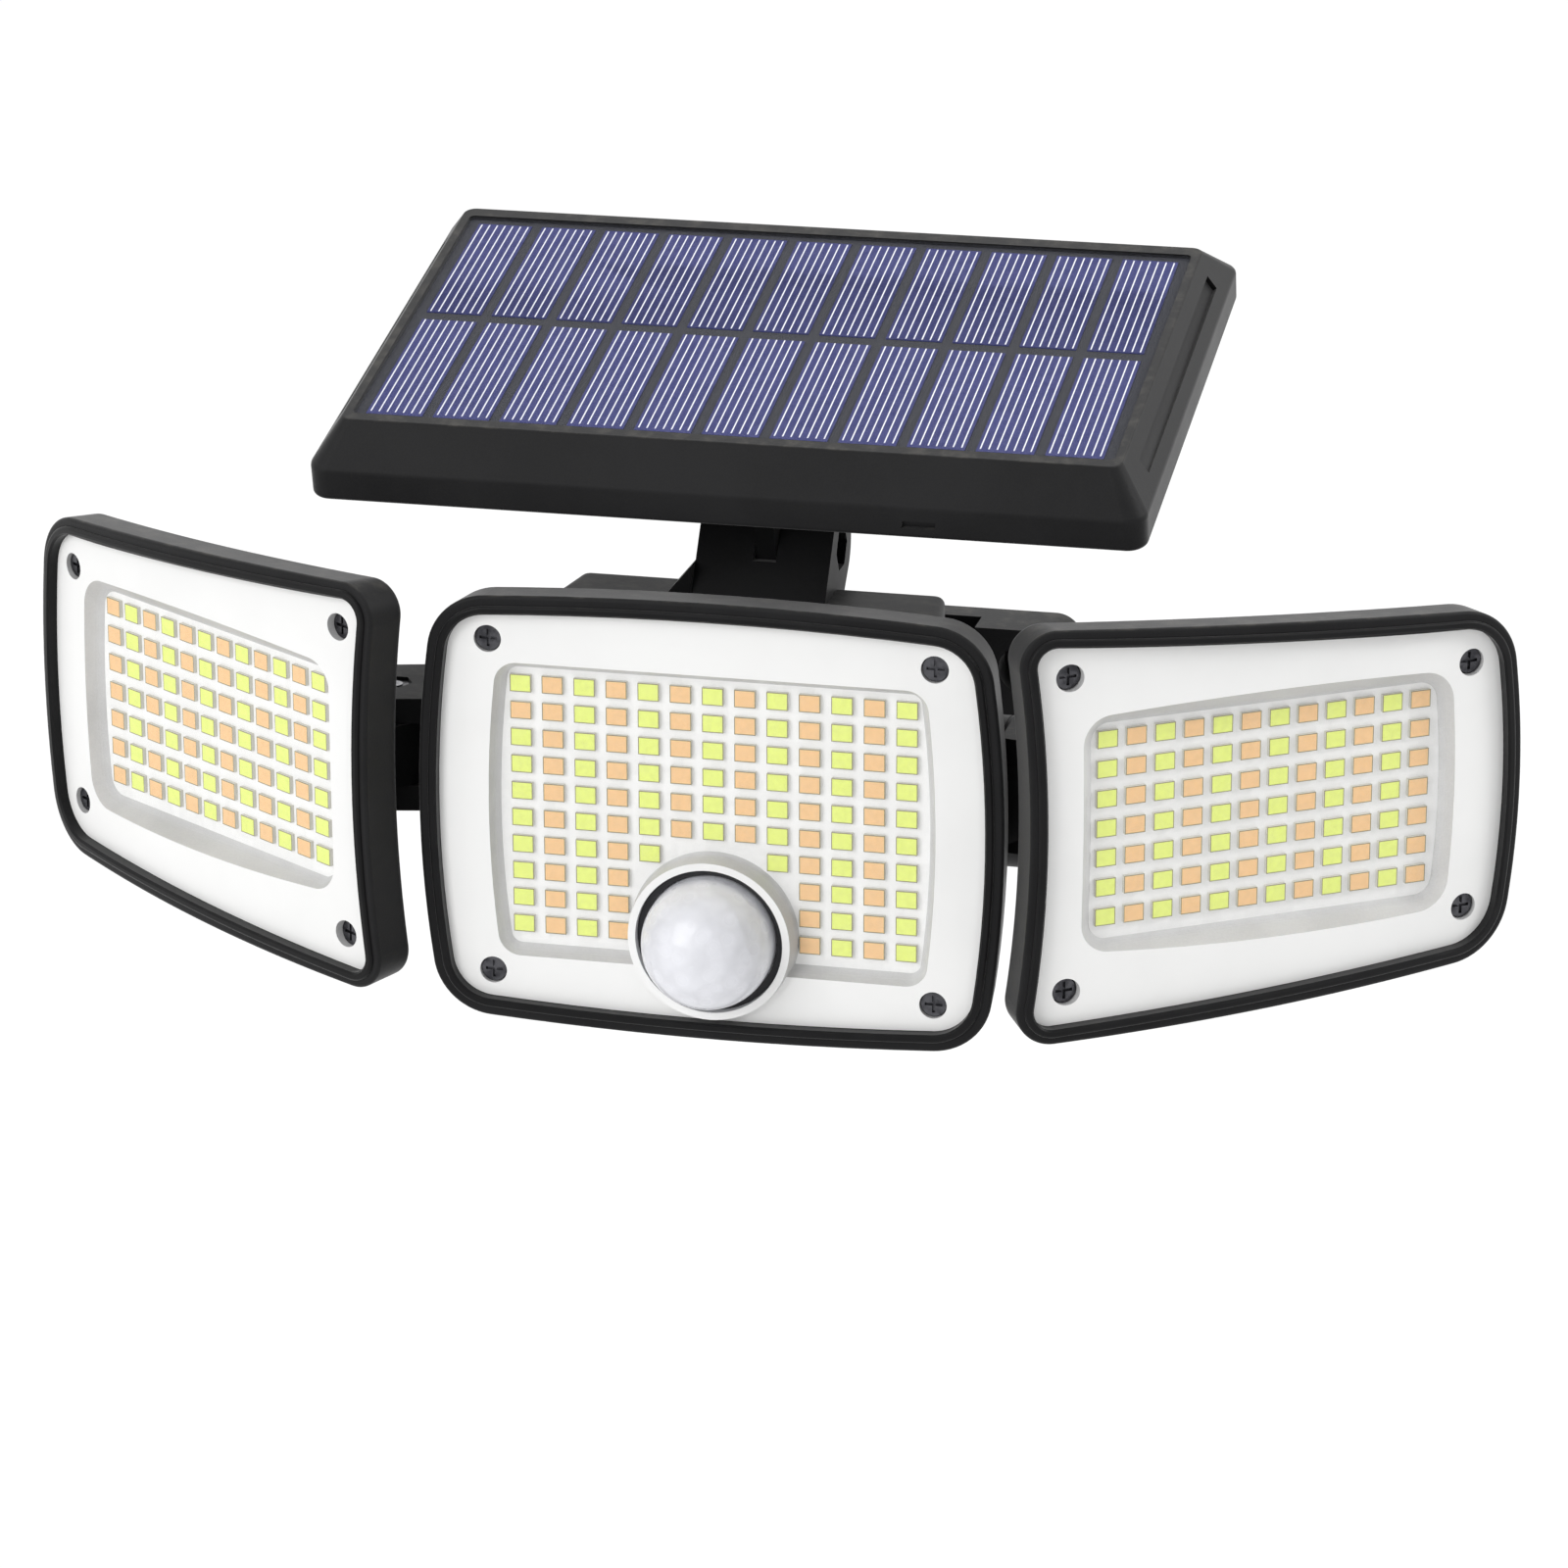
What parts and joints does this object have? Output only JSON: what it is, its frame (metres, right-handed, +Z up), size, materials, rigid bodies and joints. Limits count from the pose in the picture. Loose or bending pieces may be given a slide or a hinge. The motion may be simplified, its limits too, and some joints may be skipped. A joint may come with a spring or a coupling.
{
  "type": "motion sensor security light",
  "caption": "Solar security light: centre head with a dome motion sensor, side heads on two-way arms, tilting solar panel, wall bracket.",
  "frame": {"origin": "middle of the wall bracket's back face, in the wall plane", "axes": "+X to the light's left-to-right as seen from the front, +Y into the wall, +Z up; the centre head faces -Y"},
  "size_m": [0.2652, 0.1279, 0.1215],
  "materials": {
    "black_plastic": "fine textured black plastic",
    "white_plastic": "satin white plastic",
    "rubber": "matt black rubber",
    "clear": "clear sheet",
    "dome": "frosted milky plastic",
    "board": "white solder mask",
    "green_board": "green solder mask",
    "cool_chip": "yellow green phosphor",
    "warm_chip": "orange phosphor",
    "steel": "zinc plated",
    "black_screw": "blackened",
    "cell": "blue silicon under laminate",
    "cell_board": "dark board",
    "battery": "shrink sleeve"
  },
  "bodies": {
    "bracket": {"wall_plate": "black_plastic", "mount_arm": "black_plastic", "lock_screw": "steel", "mount_screws": "steel", "battery_housing": "black_plastic", "battery_upper": "battery", "battery_lower": "battery", "battery_cradle": "black_plastic", "control_board": "green_board", "button_switch": "black_screw", "centre_casing": "black_plastic", "centre_gasket": "rubber", "centre_faceplate": "white_plastic", "centre_screws": "black_screw", "centre_led_board": "board", "centre_cool_leds": "cool_chip", "centre_warm_leds": "warm_chip", "centre_window": "clear", "sensor_lens": "dome", "sensor_holder": "black_plastic", "sensor_board": "green_board", "motion_sensor": "steel", "tilt_bolt": "steel", "tilt_nut": "steel", "right_pitch_bolt": "steel", "right_pitch_nut": "steel", "left_pitch_bolt": "steel", "left_pitch_nut": "steel"},
    "right_arm": {"right_arm": "black_plastic", "right_yaw_bolt": "steel", "right_yaw_nut": "steel"},
    "left_arm": {"left_arm": "black_plastic", "left_yaw_bolt": "steel", "left_yaw_nut": "steel"},
    "right_head": {"right_casing": "black_plastic", "right_gasket": "rubber", "right_faceplate": "white_plastic", "right_screws": "black_screw", "right_led_board": "board", "right_cool_leds": "cool_chip", "right_warm_leds": "warm_chip", "right_window": "clear", "right_knuckle": "black_plastic"},
    "left_head": {"left_casing": "black_plastic", "left_gasket": "rubber", "left_faceplate": "white_plastic", "left_screws": "black_screw", "left_led_board": "board", "left_cool_leds": "cool_chip", "left_warm_leds": "warm_chip", "left_window": "clear", "left_knuckle": "black_plastic"},
    "panel": {"panel_housing": "black_plastic", "panel_base": "black_plastic", "base_screws": "steel", "solar_board": "cell_board", "solar_cells": "cell", "solar_glaze": "clear"},
    "button": {"power_button": "black_plastic"}
  },
  "joints": [
    {"name": "right_pitch", "type": "hinge", "parent": "bracket", "child": "right_arm", "pos_m": [0.046, -0.087, 0.0171], "axis": [1, 0, 0], "range_deg": [-12, 25]},
    {"name": "left_pitch", "type": "hinge", "parent": "bracket", "child": "left_arm", "pos_m": [-0.046, -0.087, 0.0171], "axis": [1, 0, 0], "range_deg": [-12, 25]},
    {"name": "right_yaw", "type": "hinge", "parent": "right_arm", "child": "right_head", "pos_m": [0.062, -0.092, 0.0201], "axis": [0, 0, 1], "range_deg": [-3, 70]},
    {"name": "left_yaw", "type": "hinge", "parent": "left_arm", "child": "left_head", "pos_m": [-0.062, -0.092, 0.0201], "axis": [0, 0, -1], "range_deg": [-3, 70]},
    {"name": "panel_tilt", "type": "hinge", "parent": "bracket", "child": "panel", "pos_m": [0.00175, -0.072, 0.0541], "axis": [1, 0, 0], "range_deg": [-45, 3]},
    {"name": "button_press", "type": "slide", "parent": "bracket", "child": "button", "axis": [0, 0, 1], "range_m": [0, 0.0011], "stiffness_N_per_m": 400, "springref_m": -0.001}
  ]
}
